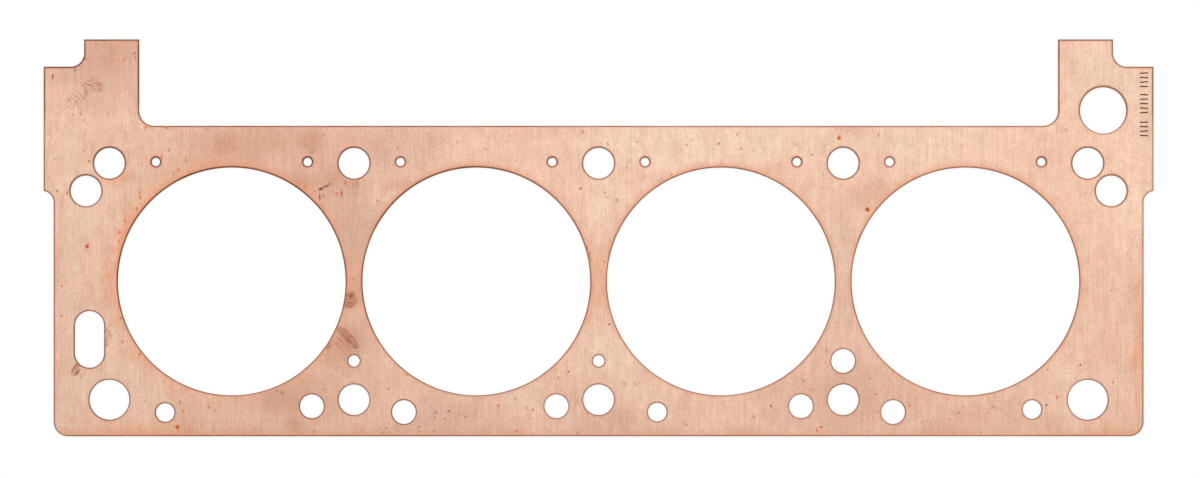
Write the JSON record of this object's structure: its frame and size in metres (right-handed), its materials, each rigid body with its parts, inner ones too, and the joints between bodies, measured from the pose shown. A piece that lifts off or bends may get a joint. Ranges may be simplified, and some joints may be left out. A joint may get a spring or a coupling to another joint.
{
  "type": "cylinder head gasket",
  "caption": "Flat copper head gasket for one bank of a V8 engine, with round bores, bolt holes, coolant passages, a side slot and two ears on its upper edge.",
  "frame": {"origin": "on the block side of the sheet, on the line through the bore centres, half way between the two middle bores", "axes": "+X along the row of bores to the end whose ear has the round hole, +Y to the edge with the ears, +Z to the cylinder head"},
  "size_m": [0.5336, 0.1908, 0.0011],
  "materials": {
    "copper": "bare rolled copper, satin, with a fine upright grain and a thin oxide line at every cut edge"
  },
  "bodies": {
    "root": {"gasket_sheet": "copper"}
  },
  "joints": []
}
